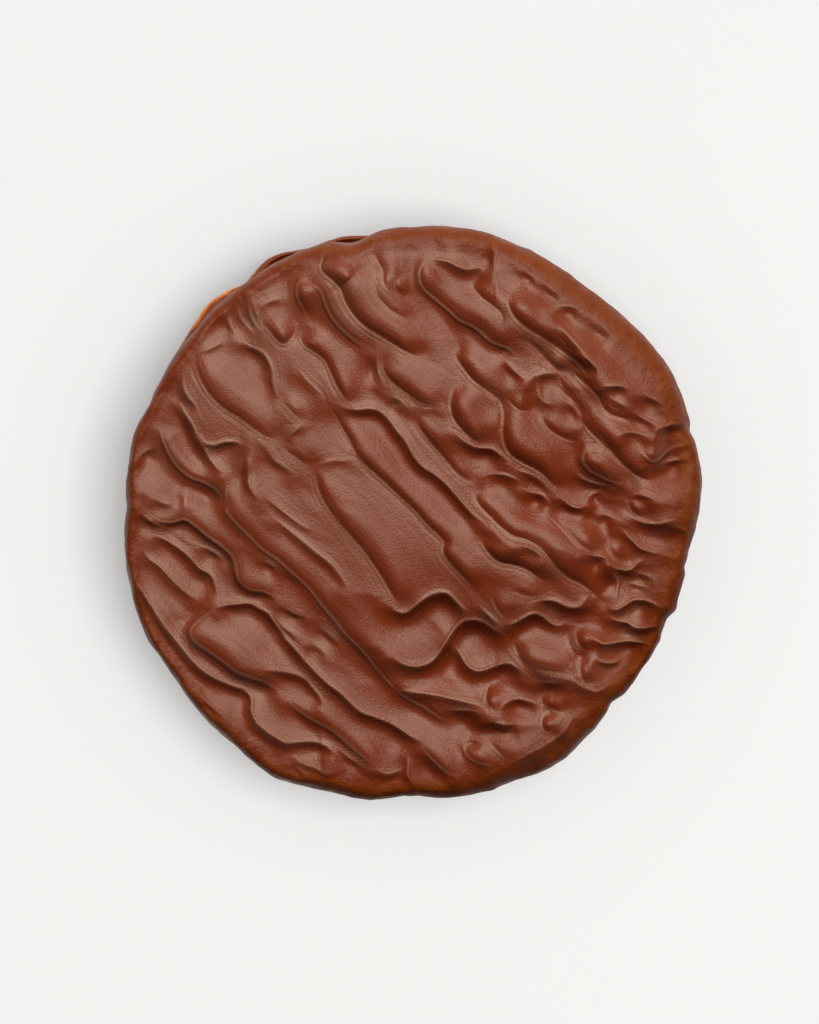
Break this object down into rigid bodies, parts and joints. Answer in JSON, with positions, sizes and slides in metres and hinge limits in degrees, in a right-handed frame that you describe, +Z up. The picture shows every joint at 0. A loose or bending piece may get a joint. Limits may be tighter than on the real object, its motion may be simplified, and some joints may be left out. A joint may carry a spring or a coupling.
{
  "type": "triple chocolate cookie",
  "caption": "Round sandwich cookie of coated biscuit layers, enrobed in milk chocolate with wind-blown folds on its top and a plain flat underside.",
  "frame": {"origin": "middle of the flat underside, at the height of the surface it lies on", "axes": "+Z up through the layers, +X to the right and +Y away from a viewer who looks down on the top, so that the folds run from the upper left to the lower right"},
  "size_m": [0.0698, 0.0692, 0.0175],
  "materials": {
    "milk_chocolate_upper": "satin milk chocolate, blown into soft folds",
    "milk_chocolate_lower": "satin milk chocolate, thin enough at the edge for the baked biscuit to tint it orange"
  },
  "bodies": {
    "root": {"upper_layer": "milk_chocolate_upper", "lower_layer": "milk_chocolate_lower"}
  },
  "joints": []
}
